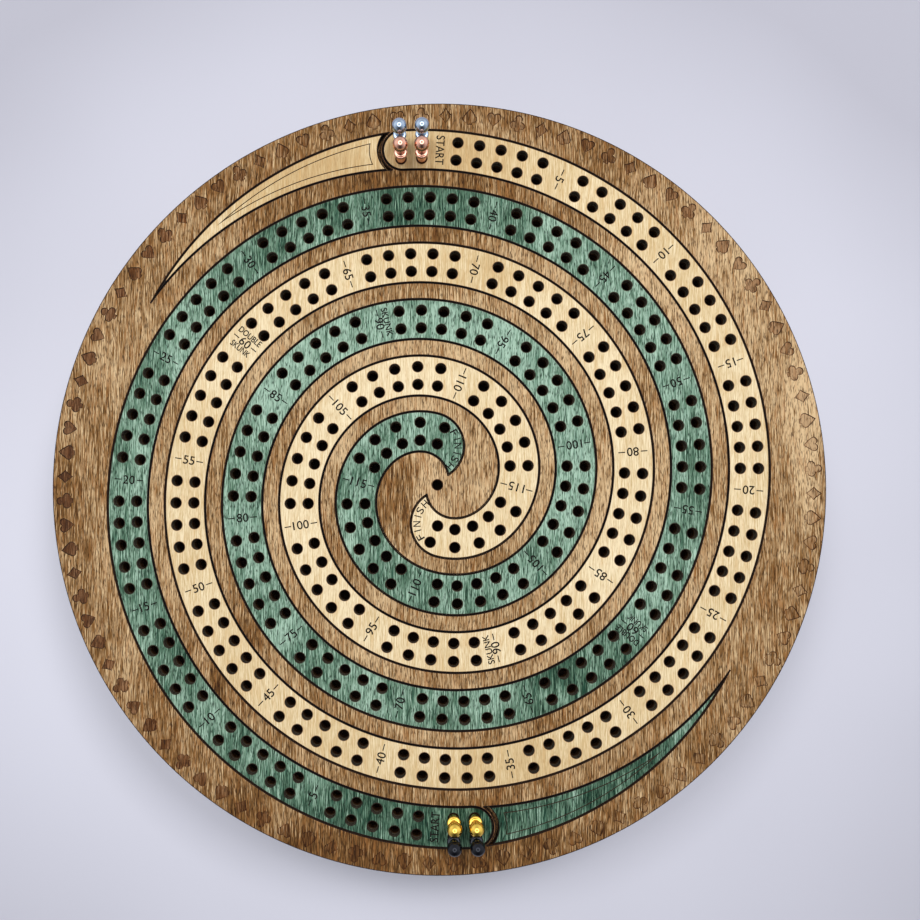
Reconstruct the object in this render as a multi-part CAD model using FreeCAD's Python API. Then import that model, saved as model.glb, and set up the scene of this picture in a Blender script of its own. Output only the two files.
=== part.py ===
"""Round plywood cribbage box with a spiral peg board on top and a drawer below.

The box is a stack of laser-cut sheets. The drawer runs under the peg board,
out through a mouth in the front wall. Millimetres; +Z up, the drawer opens
towards -Y, and the origin is the middle of the footprint, at the table.
"""
import FreeCAD, Part
import os
from math import atan2, cos, hypot, log, pi, radians, sin, sqrt

# ---- sheets and case -------------------------------------------------------
base_thickness = 3.2          # bottom board
ring_thickness = 6.4          # one wall ring
ring_count = 4                # wall rings in the stack
floor_thickness = 3.2         # board that closes the peg holes from below
plate_thickness = 6.4         # board drilled with every peg hole
top_thickness = 3.2           # visible board with its inlays
wall_width = 10.0             # wall ring, inside to outside
rim_margin = 15.63            # from the first turn's middle line to the rim
inlay_gap = 0.30              # laser kerf between an inlay and the board

foot_radius = 6.35
foot_height = 3.2
foot_inset = 14.0             # foot centre to the rim

# ---- spiral tracks ---------------------------------------------------------
track_width = 13.28           # one inlaid track
track_wall = 5.665            # board left between neighbouring tracks
lane_spacing = 5.90           # between the two lanes of one track
finish_radius = 16.22         # middle line at the last peg hole
first_hole_angle = 3.22       # clockwise from +Y, seen from above
last_hole_angle = 904.0
holes_per_lane = 120
holes_per_group = 5           # a gap for a numeral follows each group
start_hole_steps = (-1.65, -2.65)   # waiting holes, in hole spacings
start_end_step = -2.54        # centre of the round start end, in hole spacings
finish_outer_angle = 896.0    # outer edge leaves the spiral here
finish_inner_angle = 885.0    # inner edge leaves the spiral here
finish_tip_angle = 946.6
finish_tip_offset = -6.86     # from the middle line, carried on to that angle

# ---- tail inlays: offsets from the radius of the spiral at its start --------
tail_tip_angle = 56.6         # anticlockwise from +Y
tail_middle_angle = 32.0
tail_head_angle = 11.0
tail_outer_head = 6.75
tail_outer_middle = 4.90
tail_inner_head = -4.95
tail_inner_middle = -1.70
tail_tip = 1.35
start_web = 0.70              # thin strip of board round the start end
tail_head_gap = 0.95          # open slot between that strip and the tail

# ---- peg holes and pegs ----------------------------------------------------
peg_radius = 1.60
peg_clearance = 0.09
peg_tip_radius = 1.25
peg_tip_chamfer = 0.4
peg_floor_gap = 0.10          # under a seated peg
peg_collar_bottom = 3.5       # heights above the board's face
peg_collar_low = 4.7
peg_collar_high = 5.6
peg_collar_radius = 2.18
peg_waist_radius = 1.40
peg_waist_height = 7.8
peg_ball_radius = 2.45
peg_ball_height = 11.5

# ---- drawer ----------------------------------------------------------------
drawer_half_width = 73.5
drawer_back_face = 75.5       # y of the drawer's back, shut
drawer_side_gap = 0.5
drawer_lift_gap = 0.3         # above and below the drawer
drawer_back_gap = 0.5
drawer_travel = 115.0
drawer_sheet = 3.2
drawer_wall_height = 18.4     # sides, above the drawer's bottom board
drawer_back_lip = 3.2         # back stands this much above the sides
divider_height = 15.6
tray_divider_face = 0.0       # y of the cross divider's front face
finger_dip_radius = 12.0
finger_room = 22.0            # divider cut down this far behind the pull
joint_fingers = 3             # finger joint at the drawer's back corners
notch_radius = 15.0           # half-moon pull in the drawer front
rail_thickness = 6.4
stop_length = 80.0
stop_width = 12.0
stop_gap = 0.2
stop_thickness = 3.2

magnet_radius = 4.0
magnet_thickness = 3.0
magnet_height = 12.0          # magnet centre above the bottom board
magnet_clearance = 0.05

# ---- worked out from the above ---------------------------------------------
track_pitch = 2.0 * (track_width + track_wall)
spiral_rate = track_pitch / 360.0
start_radius = finish_radius + spiral_rate * last_hole_angle
case_radius = start_radius + rim_margin
wall_inner_radius = case_radius - wall_width
hole_radius = peg_radius + peg_clearance
half_gap = inlay_gap / 2.0

base_z = foot_height
ring_z = base_z + base_thickness
bay_height = ring_count * ring_thickness
floor_z = ring_z + bay_height
plate_z = floor_z + floor_thickness
top_z = plate_z + plate_thickness
face_z = top_z + top_thickness

bay_half_width = drawer_half_width + drawer_side_gap
bay_back_face = drawer_back_face + drawer_back_gap
drawer_z = ring_z + drawer_lift_gap
tray_z = drawer_z + drawer_sheet
front_layer_thickness = (bay_height - 2.0 * drawer_lift_gap) / ring_count
front_top_z = drawer_z + ring_count * front_layer_thickness
drawer_back_front_face = drawer_back_face - drawer_sheet
stop_back_face = drawer_back_front_face - drawer_travel - stop_gap
magnet_z = ring_z + magnet_height

UP = FreeCAD.Vector(0, 0, 1)
ALONG_Y = FreeCAD.Vector(0, 1, 0)


def save(node, shape):
    shape.exportStep("parts/%s.step" % node)


# ---- the spiral ------------------------------------------------------------
def spiral_radius(angle):
    return start_radius - spiral_rate * angle


def polar(radius, angle):
    turn = radians(angle)
    return (radius * sin(turn), radius * cos(turn))


def spiral_normal(angle):
    """Outward unit normal of the middle line."""
    turn = radians(angle)
    radius = spiral_radius(angle)
    shrink = -track_pitch / (2.0 * pi)
    run_x = shrink * sin(turn) + radius * cos(turn)
    run_y = shrink * cos(turn) - radius * sin(turn)
    length = hypot(run_x, run_y)
    return (-run_y / length, run_x / length)


def spiral_edge(angle, offset):
    """Point beside the middle line, offset outwards."""
    x, y = polar(spiral_radius(angle), angle)
    normal_x, normal_y = spiral_normal(angle)
    return (x + offset * normal_x, y + offset * normal_y)


def spiral_length(angle):
    """Length of the middle line from angle 0."""
    rate = track_pitch / (2.0 * pi)

    def primitive(radius):
        slant = hypot(radius, rate)
        return 0.5 * (radius * slant / rate + rate * log((radius + slant) / rate))

    return primitive(start_radius) - primitive(spiral_radius(angle))


def angle_at_length(length):
    low, high = -180.0, last_hole_angle + 180.0
    for _ in range(60):
        middle = 0.5 * (low + high)
        if spiral_length(middle) < length:
            low = middle
        else:
            high = middle
    return 0.5 * (low + high)


last_step = holes_per_lane - 1 + (holes_per_lane - 1) // holes_per_group
first_length = spiral_length(first_hole_angle)
hole_spacing = (spiral_length(last_hole_angle) - first_length) / last_step


def step_angle(step):
    return angle_at_length(first_length + step * hole_spacing)


start_end_angle = step_angle(start_end_step)
start_centre = polar(spiral_radius(start_end_angle), start_end_angle)


def lane_steps():
    return [index + index // holes_per_group for index in range(holes_per_lane)]


def track_holes():
    """Hole centres of the natural track; the green one is half a turn round."""
    centres = []
    for step in list(start_hole_steps) + lane_steps():
        angle = step_angle(step)
        for side in (0.5, -0.5):
            centres.append(spiral_edge(angle, side * lane_spacing))
    return centres


# ---- outlines --------------------------------------------------------------
def vector(point, z=0.0):
    return FreeCAD.Vector(point[0], point[1], z)


def line(start, end):
    return Part.makeLine(vector(start), vector(end))


def arc_through(start, middle, end):
    return Part.Arc(vector(start), vector(middle), vector(end)).toShape()


def arc_on(circle, start, end):
    """Shorter arc of circle ((x, y), radius) between two points on it."""
    (cx, cy), radius = circle
    mid_x = 0.5 * (start[0] + end[0]) - cx
    mid_y = 0.5 * (start[1] + end[1]) - cy
    grow = radius / hypot(mid_x, mid_y)
    return arc_through(start, (cx + grow * mid_x, cy + grow * mid_y), end)


def meet(first, second, near):
    """Crossing of two circles, the one nearer to a point."""
    (ax, ay), ra = first
    (bx, by), rb = second
    gap = hypot(bx - ax, by - ay)
    along = (ra * ra - rb * rb + gap * gap) / (2.0 * gap)
    across = sqrt(ra * ra - along * along)
    ux, uy = (bx - ax) / gap, (by - ay) / gap
    pair = [(ax + along * ux - s * across * uy, ay + along * uy + s * across * ux)
            for s in (1, -1)]
    return min(pair, key=lambda p: hypot(p[0] - near[0], p[1] - near[1]))


def circle_by_points(a, b, c):
    twice = 2 * (a[0] * (b[1] - c[1]) + b[0] * (c[1] - a[1]) + c[0] * (a[1] - b[1]))
    sa, sb, sc = [p[0] ** 2 + p[1] ** 2 for p in (a, b, c)]
    x = (sa * (b[1] - c[1]) + sb * (c[1] - a[1]) + sc * (a[1] - b[1])) / twice
    y = (sa * (c[0] - b[0]) + sb * (a[0] - c[0]) + sc * (b[0] - a[0])) / twice
    return ((x, y), hypot(a[0] - x, a[1] - y))


def circle_by_tangent(angle, offset, point):
    """Circle that carries a track edge on from one angle to a point."""
    ex, ey = spiral_edge(angle, offset)
    nx, ny = spiral_normal(angle)
    dx, dy = point[0] - ex, point[1] - ey
    radius = (dx * dx + dy * dy) / (-2.0 * (nx * dx + ny * dy))
    return ((ex - radius * nx, ey - radius * ny), radius)


def grown(circle, amount):
    return (circle[0], circle[1] + amount)


def edge_arcs(start, end, offset):
    """Track edge from one angle to another as arcs of about 24 degrees."""
    count = max(1, int(abs(end - start) / 24.0 + 0.5))
    step = (end - start) / count
    arcs = []
    for index in range(count):
        a = start + index * step
        arcs.append(arc_through(spiral_edge(a, offset),
                                spiral_edge(a + 0.5 * step, offset),
                                spiral_edge(a + step, offset)))
    return arcs


def track_outline(growth):
    """Closed wire of one track, grown outwards by an amount."""
    half = 0.5 * track_width
    tip = polar(spiral_radius(finish_tip_angle) + finish_tip_offset, finish_tip_angle)
    outer = grown(circle_by_tangent(finish_outer_angle, half, tip), growth)
    inner = grown(circle_by_tangent(finish_inner_angle, -half, tip), -growth)
    reach = half + growth
    tip = meet(outer, inner, tip)
    outer_start = spiral_edge(start_end_angle, reach)
    inner_start = spiral_edge(start_end_angle, -reach)
    nx, ny = spiral_normal(start_end_angle)
    back = (start_centre[0] - reach * ny, start_centre[1] + reach * nx)
    edges = edge_arcs(start_end_angle, finish_outer_angle, reach)
    edges.append(long_arc(outer, spiral_edge(finish_outer_angle, reach), tip))
    edges.append(long_arc(inner, tip, spiral_edge(finish_inner_angle, -reach)))
    edges += edge_arcs(finish_inner_angle, start_end_angle, -reach)
    edges.append(arc_through(inner_start, back, outer_start))
    return Part.Wire(edges)


def long_arc(circle, start, end):
    """Arc that follows the clockwise track round, however long it is."""
    (cx, cy), radius = circle
    a = atan2(start[1] - cy, start[0] - cx)
    b = atan2(end[1] - cy, end[0] - cx)
    sweep = (a - b) % (2.0 * pi)
    if sweep > 1.5 * pi:
        sweep -= 2.0 * pi
    middle = a - 0.5 * sweep
    return arc_through(start, (cx + radius * cos(middle), cy + radius * sin(middle)), end)


def tail_outline(growth, head_radius):
    """Closed wire of the pointed tail behind a start end."""
    def at(angle, offset):
        return polar(start_radius + offset, -angle)

    tip = at(tail_tip_angle, tail_tip)
    outer = circle_by_points(at(tail_head_angle, tail_outer_head),
                             at(tail_middle_angle, tail_outer_middle), tip)
    inner = circle_by_points(at(tail_head_angle, tail_inner_head),
                             at(tail_middle_angle, tail_inner_middle), tip)
    outer = grown(outer, growth)
    inner = grown(inner, -growth)
    head = (start_centre, head_radius)
    tip = meet(outer, inner, tip)
    outer_head = meet(outer, head, at(tail_head_angle, tail_outer_head))
    inner_head = meet(inner, head, at(tail_head_angle, tail_inner_head))
    return Part.Wire([arc_on(outer, tip, outer_head),
                      arc_on(head, outer_head, inner_head),
                      arc_on(inner, inner_head, tip)])


def circle_wire(centre, radius):
    return Part.Wire([Part.makeCircle(radius, vector(centre), UP)])


def sheet(outline, cutouts, z, thickness):
    """Flat board with through cut-outs."""
    face = Part.Face([outline] + cutouts) if cutouts else Part.Face(outline)
    face.validate()
    board = face.extrude(FreeCAD.Vector(0, 0, thickness))
    board.translate(FreeCAD.Vector(0, 0, z))
    return board


def half_turn(wire):
    turned = wire.copy()
    turned.rotate(FreeCAD.Vector(0, 0, 0), UP, 180)
    return turned


def box(x, y, z):
    """Box from (low, high) pairs."""
    return Part.makeBox(x[1] - x[0], y[1] - y[0], z[1] - z[0],
                        FreeCAD.Vector(x[0], y[0], z[0]))


def disc(radius, z, thickness):
    return Part.makeCylinder(radius, thickness, FreeCAD.Vector(0, 0, z))


# ---- peg board -------------------------------------------------------------
def hole_wires(centres):
    return [circle_wire(centre, hole_radius) for centre in centres]


def make_peg_board():
    natural = track_holes()
    green = [(-x, -y) for x, y in natural]
    rim = circle_wire((0, 0), case_radius)
    game_hole = circle_wire((0, 0), hole_radius)
    pocket = track_outline(half_gap)
    tail_pocket_head = 0.5 * track_width + half_gap + start_web
    tail_head = tail_pocket_head + tail_head_gap
    tail_pocket = tail_outline(half_gap, tail_pocket_head)
    track = track_outline(-half_gap)
    tail = tail_outline(-half_gap, tail_head)

    save("peg_floor", disc(case_radius, floor_z, floor_thickness))
    save("hole_plate", sheet(rim, [game_hole] + hole_wires(natural + green),
                             plate_z, plate_thickness))
    pockets = [pocket, half_turn(pocket), tail_pocket, half_turn(tail_pocket)]
    save("top_board", sheet(rim, [game_hole] + pockets, top_z, top_thickness))
    save("natural_track", sheet(track, hole_wires(natural), top_z, top_thickness))
    save("green_track", sheet(half_turn(track), hole_wires(green),
                              top_z, top_thickness))
    save("natural_tail", sheet(tail, [], top_z, top_thickness))
    save("green_tail", sheet(half_turn(tail), [], top_z, top_thickness))


# ---- case ------------------------------------------------------------------
def make_foot():
    foot = Part.makeCylinder(foot_radius, foot_height)
    lower = [edge for edge in foot.Edges
             if edge.Closed and edge.CenterOfMass.z < 0.5 * foot_height]
    return foot.makeChamfer(0.2 * foot_height, lower)


def make_case():
    save("base_board", disc(case_radius, base_z, base_thickness))

    foot_circle = case_radius - foot_inset
    for index in range(4):
        x, y = polar(foot_circle, 45.0 + 90.0 * index)
        foot = make_foot()
        foot.translate(FreeCAD.Vector(x, y, 0))
        save("foot_%d" % (index + 1), foot)

    mouth = box((-bay_half_width, bay_half_width), (-2 * case_radius, 0),
                (ring_z, floor_z))
    for index in range(ring_count):
        z = ring_z + index * ring_thickness
        ring = disc(case_radius, z, ring_thickness)
        ring = ring.cut(disc(wall_inner_radius, z, ring_thickness)).cut(mouth)
        save("wall_ring_%d" % (index + 1), ring)

    inside = disc(wall_inner_radius, ring_z, bay_height)
    rail = box((bay_half_width, bay_half_width + rail_thickness),
               (-case_radius, bay_back_face + rail_thickness),
               (ring_z, floor_z)).common(inside)
    save("bay_rail_right", rail)
    save("bay_rail_left", rail.mirror(FreeCAD.Vector(0, 0, 0),
                                      FreeCAD.Vector(1, 0, 0)))

    back = box((-bay_half_width, bay_half_width),
               (bay_back_face, bay_back_face + rail_thickness), (ring_z, floor_z))
    pocket = Part.makeCylinder(magnet_radius + magnet_clearance, magnet_thickness,
                               FreeCAD.Vector(0, bay_back_face, magnet_z), ALONG_Y)
    save("bay_back", back.cut(pocket))
    save("case_magnet", Part.makeCylinder(
        magnet_radius, magnet_thickness,
        FreeCAD.Vector(0, bay_back_face, magnet_z), ALONG_Y))

    save("drawer_stop", box((-0.5 * stop_length, 0.5 * stop_length),
                            (stop_back_face - stop_width, stop_back_face),
                            (floor_z - stop_thickness, floor_z)))


# ---- drawer ----------------------------------------------------------------
def make_front_layers():
    """Curved front, cut from the same sheets as the wall it closes."""
    width = (-drawer_half_width, drawer_half_width)
    notch = Part.makeCylinder(notch_radius, 2 * case_radius,
                              FreeCAD.Vector(0, -2 * case_radius, front_top_z), ALONG_Y)
    notch_floor = front_top_z - notch_radius
    for index in range(ring_count):
        z = drawer_z + index * front_layer_thickness
        layer = disc(case_radius, z, front_layer_thickness)
        layer = layer.cut(disc(wall_inner_radius, z, front_layer_thickness))
        layer = layer.common(box(width, (-2 * case_radius, 0),
                                 (z, z + front_layer_thickness)))
        name = "drawer_front_%d" % (index + 1)
        if z + front_layer_thickness > notch_floor:
            layer = layer.cut(notch)
        if len(layer.Solids) == 1:
            save(name, layer.Solids[0])
            continue
        left, right = sorted(layer.Solids, key=lambda solid: solid.CenterOfMass.x)
        save(name + "_left", left)
        save(name + "_right", right)


def finger_levels():
    """Heights of the finger joint's fingers up a back corner."""
    height = drawer_wall_height / joint_fingers
    return [(tray_z + i * height, tray_z + (i + 1) * height)
            for i in range(joint_fingers)]


def make_drawer():
    inside = disc(wall_inner_radius, ring_z, bay_height)
    half = drawer_half_width
    depth = (-case_radius, drawer_back_face)
    side_top = tray_z + drawer_wall_height
    back_top = side_top + drawer_back_lip

    bottom = box((-half, half), depth, (drawer_z, tray_z)).common(inside)
    save("drawer_bottom", bottom)

    side = box((half - drawer_sheet, half), depth, (tray_z, side_top)).common(inside)
    back = box((-half, half), (drawer_back_front_face, drawer_back_face),
               (tray_z, back_top))
    for index, level in enumerate(finger_levels()):
        corner = box((half - drawer_sheet, half),
                     (drawer_back_front_face, drawer_back_face), level)
        if index % 2:
            side = side.cut(corner)
        else:
            back = back.cut(corner)
            back = back.cut(corner.mirror(FreeCAD.Vector(0, 0, 0),
                                          FreeCAD.Vector(1, 0, 0)))
    save("drawer_side_right", side)
    save("drawer_side_left", side.mirror(FreeCAD.Vector(0, 0, 0),
                                         FreeCAD.Vector(1, 0, 0)))

    magnet_y = drawer_back_face - magnet_thickness
    pocket = Part.makeCylinder(magnet_radius + magnet_clearance, drawer_sheet,
                               FreeCAD.Vector(0, magnet_y, magnet_z), ALONG_Y)
    save("drawer_back", back.cut(pocket))
    save("drawer_magnet", Part.makeCylinder(
        magnet_radius, magnet_thickness,
        FreeCAD.Vector(0, magnet_y, magnet_z), ALONG_Y))

    divider_top = tray_z + divider_height
    inner = half - drawer_sheet
    save("tray_divider", box((-inner, inner),
                             (tray_divider_face, tray_divider_face + drawer_sheet),
                             (tray_z, divider_top)))
    deck = box((-0.5 * drawer_sheet, 0.5 * drawer_sheet),
               (-case_radius, tray_divider_face), (tray_z, divider_top)).common(inside)
    dip_y = 0.5 * (tray_divider_face - wall_inner_radius)
    dip = Part.makeCylinder(finger_dip_radius, 2 * drawer_sheet,
                            FreeCAD.Vector(-drawer_sheet, dip_y, divider_top),
                            FreeCAD.Vector(1, 0, 0))
    room = box((-drawer_sheet, drawer_sheet),
               (-case_radius, finger_room - wall_inner_radius),
               (front_top_z - notch_radius, front_top_z))
    save("deck_divider", deck.cut(dip).cut(room))


# ---- pegs ------------------------------------------------------------------
def make_peg():
    """Turned metal peg standing at the origin, board face at z = 0."""
    foot_z = peg_floor_gap - plate_thickness - top_thickness
    neck_z = peg_ball_height - sqrt(peg_ball_radius ** 2 - peg_waist_radius ** 2)
    ball_top = peg_ball_height + peg_ball_radius

    def at(radius, z):
        return FreeCAD.Vector(radius, 0, z)

    def run(*points):
        return [Part.makeLine(a, b) for a, b in zip(points, points[1:])]

    edges = run(at(0, foot_z), at(peg_tip_radius - peg_tip_chamfer, foot_z),
                at(peg_tip_radius, foot_z + peg_tip_chamfer),
                at(peg_radius, -top_thickness), at(peg_radius, peg_collar_bottom),
                at(peg_collar_radius, peg_collar_low),
                at(peg_collar_radius, peg_collar_high))
    drop = peg_collar_radius - peg_waist_radius
    rise = peg_waist_height - peg_collar_high
    bulge = at(peg_waist_radius + 0.62 * drop, peg_collar_high + 0.62 * rise)
    edges.append(Part.Arc(at(peg_collar_radius, peg_collar_high), bulge,
                          at(peg_waist_radius, peg_waist_height)).toShape())
    edges += run(at(peg_waist_radius, peg_waist_height), at(peg_waist_radius, neck_z))
    edges.append(Part.Arc(at(peg_waist_radius, neck_z),
                          at(peg_ball_radius, peg_ball_height),
                          at(0, ball_top)).toShape())
    edges += run(at(0, ball_top), at(0, foot_z))
    profile = Part.Face(Part.Wire(edges))
    return profile.revolve(FreeCAD.Vector(0, 0, 0), UP, 360)


def make_pegs():
    """A pair of each colour, in the waiting holes of its own lane."""
    lanes = (("silver", 1, 0.5), ("copper", 1, -0.5),
             ("gold", -1, -0.5), ("black", -1, 0.5))
    for colour, turn, side in lanes:
        for index, step in enumerate(start_hole_steps):
            x, y = spiral_edge(step_angle(step), side * lane_spacing)
            peg = make_peg()
            peg.translate(FreeCAD.Vector(turn * x, turn * y, face_z))
            save("%s_peg_%d" % (colour, index + 1), peg)


os.makedirs("parts", exist_ok=True)
make_case()
make_peg_board()
make_drawer()
make_front_layers()
make_pegs()
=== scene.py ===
"""Round plywood cribbage box: two inlaid spiral tracks, eight metal pegs and a drawer.

Lengths are in millimetres until a mesh is made. Angles on the board run
clockwise from +Y, seen from above.
"""
from math import atan2, copysign, cos, hypot, log, pi, radians, sin, sqrt

import bmesh
import bpy
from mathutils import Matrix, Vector


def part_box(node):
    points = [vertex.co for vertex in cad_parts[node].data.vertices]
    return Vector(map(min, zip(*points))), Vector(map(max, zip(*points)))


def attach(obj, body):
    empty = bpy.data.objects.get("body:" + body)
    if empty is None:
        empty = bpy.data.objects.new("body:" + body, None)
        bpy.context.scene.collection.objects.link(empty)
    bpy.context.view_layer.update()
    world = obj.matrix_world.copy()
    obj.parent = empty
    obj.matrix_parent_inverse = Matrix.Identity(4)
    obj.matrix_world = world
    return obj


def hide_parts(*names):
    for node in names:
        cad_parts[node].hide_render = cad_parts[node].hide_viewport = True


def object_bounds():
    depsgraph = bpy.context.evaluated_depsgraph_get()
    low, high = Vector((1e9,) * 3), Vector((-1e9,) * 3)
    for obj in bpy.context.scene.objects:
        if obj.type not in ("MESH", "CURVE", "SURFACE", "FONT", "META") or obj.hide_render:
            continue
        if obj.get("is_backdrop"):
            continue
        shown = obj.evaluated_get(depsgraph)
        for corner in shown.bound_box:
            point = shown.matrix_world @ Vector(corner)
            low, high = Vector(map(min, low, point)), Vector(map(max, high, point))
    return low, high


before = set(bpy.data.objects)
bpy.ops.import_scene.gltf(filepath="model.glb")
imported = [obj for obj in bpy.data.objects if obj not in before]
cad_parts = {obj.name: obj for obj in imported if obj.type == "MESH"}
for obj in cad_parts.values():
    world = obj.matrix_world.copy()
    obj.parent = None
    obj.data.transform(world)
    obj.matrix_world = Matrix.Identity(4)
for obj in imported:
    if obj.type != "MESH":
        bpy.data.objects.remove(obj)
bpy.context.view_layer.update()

MM = 0.001

# ---- the stack of sheets, from the table up --------------------------------
sheet_thin = 3.2
sheet_thick = 6.4
wall_layers = 4
foot_height = 3.2
foot_count = 4
bay_height = wall_layers * sheet_thick
floor_z = foot_height + sheet_thin + bay_height
plate_z = floor_z + sheet_thin
top_z = plate_z + sheet_thick
face_z = top_z + sheet_thin

# ---- sizes of the board ----------------------------------------------------
case_radius = 127.0
inlay_gap = 0.30                 # between a board and its inlays

track_width = 13.28
track_wall = 5.665               # board left between neighbouring tracks
track_pitch = 2.0 * (track_width + track_wall)
lane_spacing = 5.90
finish_radius = 16.22            # middle of the track at the last hole
first_hole_angle = 3.22
last_hole_angle = 904.0
holes_per_lane = 120
holes_per_group = 5
waiting_holes = 2                # in each lane, behind the start
waiting_step = -1.65             # hole spacings from the first hole
start_end_step = -2.54           # middle of the track's round end
finish_outer_angle = 896.0       # the outer edge leaves the spiral here
finish_inner_angle = 885.0       # and the inner edge here
finish_tip_angle = 946.6
finish_tip_offset = -6.86
hole_radius = 1.69
guide_margin = 20.0              # the holes' guide runs on at both ends, in degrees
guide_points = 720               # in each turn of the guide

tail_tip_angle = 56.6
tail_middle_angle = 32.0
tail_head_angle = 11.0
tail_outer = (6.75, 4.90)        # from the start radius, at the head and the middle
tail_inner = (-4.95, -1.70)
tail_tip = 1.35
start_web = 0.70                 # strip of board round a track's round end
tail_head_gap = 0.95             # open slot between that strip and the tail

# ---- sizes of the laser's marks --------------------------------------------
engraving_depth = 0.22
scorch_width = 0.33
rim_scorch = 0.26
score_width = 0.30
score_tip_angle = 39.4
score_middle_angle = 25.0
score_head_angle = 11.3
score_outer = (4.38, 3.30)
score_inner = (-2.57, -0.45)
score_tip = 1.75
suit_radius = 123.0
suit_count = 96
first_suit_angle = 1.15
suit_border = 0.40
suit_line_share = 1.2            # of a line's strength, at the very edge of a suit
# strengths at even steps clockwise round the rim, from the top to the top again
suit_line_burn = (0.85, 0.80, 0.40, 0.84, 0.85)
suit_fill_burn = (0.02, 0.24, 0.12, 0.08, 0.12, 0.32, 0.50, 0.28, 0.06)

# ---- sizes of the lettering ------------------------------------------------
numeral_height = 2.78
numeral_stretch = 1.03           # wider than the plain letters
numeral_weight = 0.05            # how far a stroke's outline is moved outwards
dash_length = 2.2
dash_thickness = 0.34
dash_gap = 0.60                  # between a numeral and its dashes
start_word_width = 9.7
start_word_step = -0.80          # hole spacings from the first hole
numeral_ahead = {60: 1.0, 90: 0.25}
# words beside a numeral: text, width, height and place ahead of the middle
words_beside = {60: (("DOUBLE", 8.9, 2.0, 3.65), ("SKUNK", 7.4, 2.0, -1.5)),
                90: (("SKUNK", 9.5, 2.1, 2.75),)}
word_weight = 0.06
finish_letters = (("F", 240.5), ("I", 255.0), ("N", 269.0), ("I", 285.0), ("S", 298.0),
                  ("H", 315.0))
finish_letter_height = 2.40
finish_letter_width = 1.75
finish_letter_i_width = 0.28
finish_letter_inset = 2.0
finish_letter_weight = 0.035

# ---- how strongly the laser burns ------------------------------------------
letter_burn = 0.9
score_burn = 0.7
cut_burn = 2.2
cut_wall_burn = 1.0
hole_burn = 1.1
hole_wall_burn = 0.2

# ---- sizes of a peg; heights are above the board's face --------------------
pegs_per_metal = 2
peg_radius = 1.6
peg_tip_radius = 1.25
peg_tip_flat = 0.85
peg_tip_chamfer = 0.4
peg_floor_gap = 0.1
peg_shaft_top = 4.3
collar_middle = (1.66, 5.02)     # radius and height
collar_bead_radius = 0.56
collar_top = (1.3, 5.6)
peg_waist = ((1.16, 5.72), (1.1, 6.0), (1.06, 7.0), (1.08, 8.2), (1.18, 9.0))
ball_height = 11.5
ball_radius = 2.45

# ---- sizes of the drawer ---------------------------------------------------
drawer_half_width = 73.5
drawer_back_y = 75.5
drawer_gap = 0.5                 # to the rails and to the back of the bay
drawer_lift = 0.3                # above the bottom board, and below the roof

# ---- chords that stand for curves ------------------------------------------
fine_chord = 0.4
score_chord = 0.5
long_chord = 0.8

half_gap = 0.5 * inlay_gap
spiral_rate = track_pitch / 360.0
start_radius = finish_radius + spiral_rate * last_hole_angle


# ---- objects and colours ---------------------------------------------------
def placed(name, data):
    """New object in the scene."""
    made = bpy.data.objects.new(name, data)
    bpy.context.scene.collection.objects.link(made)
    return made


def colour(red, green, blue):
    """Display colour, 0 to 255, as the linear colour that a shader takes."""
    def linear(value):
        value /= 255.0
        return value / 12.92 if value <= 0.04045 else ((value + 0.055) / 1.055) ** 2.4
    return (linear(red), linear(green), linear(blue), 1.0)


# ---- the spiral ------------------------------------------------------------
def spiral_radius(angle):
    return start_radius - spiral_rate * angle


def polar(radius, angle):
    turn = radians(angle)
    return (radius * sin(turn), radius * cos(turn))


def spiral_normal(angle):
    """Direction square to the spiral, outwards."""
    turn = radians(angle)
    radius = spiral_radius(angle)
    shrink = -track_pitch / (2.0 * pi)
    run_x = shrink * sin(turn) + radius * cos(turn)
    run_y = shrink * cos(turn) - radius * sin(turn)
    length = hypot(run_x, run_y)
    return (-run_y / length, run_x / length)


def spiral_edge(angle, offset):
    """Point beside the spiral, at an offset outwards from it."""
    x, y = polar(spiral_radius(angle), angle)
    normal_x, normal_y = spiral_normal(angle)
    return (x + offset * normal_x, y + offset * normal_y)


def spiral_length(angle):
    """Length along the spiral from the angle 0."""
    rate = track_pitch / (2.0 * pi)

    def primitive(radius):
        slant = hypot(radius, rate)
        return 0.5 * (radius * slant / rate + rate * log((radius + slant) / rate))

    return primitive(start_radius) - primitive(spiral_radius(angle))


last_step = holes_per_lane - 1 + (holes_per_lane - 1) // holes_per_group
first_length = spiral_length(first_hole_angle)
hole_spacing = (spiral_length(last_hole_angle) - first_length) / last_step


def step_angle(step, half_turn=180.0, halvings=50):
    """Angle of a place on the track, counted in hole spacings from the first hole."""
    wanted = first_length + step * hole_spacing
    low, high = -half_turn, last_hole_angle + half_turn
    for _ in range(halvings):
        middle = 0.5 * (low + high)
        if spiral_length(middle) < wanted:
            low = middle
        else:
            high = middle
    return 0.5 * (low + high)


start_end_angle = step_angle(start_end_step)
start_centre = polar(spiral_radius(start_end_angle), start_end_angle)


# ---- arcs and closed lines -------------------------------------------------
def meet(first, second, near):
    """Where two circles cross, at the crossing nearest to a point."""
    (ax, ay), ra = first
    (bx, by), rb = second
    gap = hypot(bx - ax, by - ay)
    along = (ra * ra - rb * rb + gap * gap) / (2.0 * gap)
    across = sqrt(ra * ra - along * along)
    ux, uy = (bx - ax) / gap, (by - ay) / gap
    pair = [(ax + along * ux - s * across * uy, ay + along * uy + s * across * ux)
            for s in (1, -1)]
    return min(pair, key=lambda p: hypot(p[0] - near[0], p[1] - near[1]))


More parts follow.
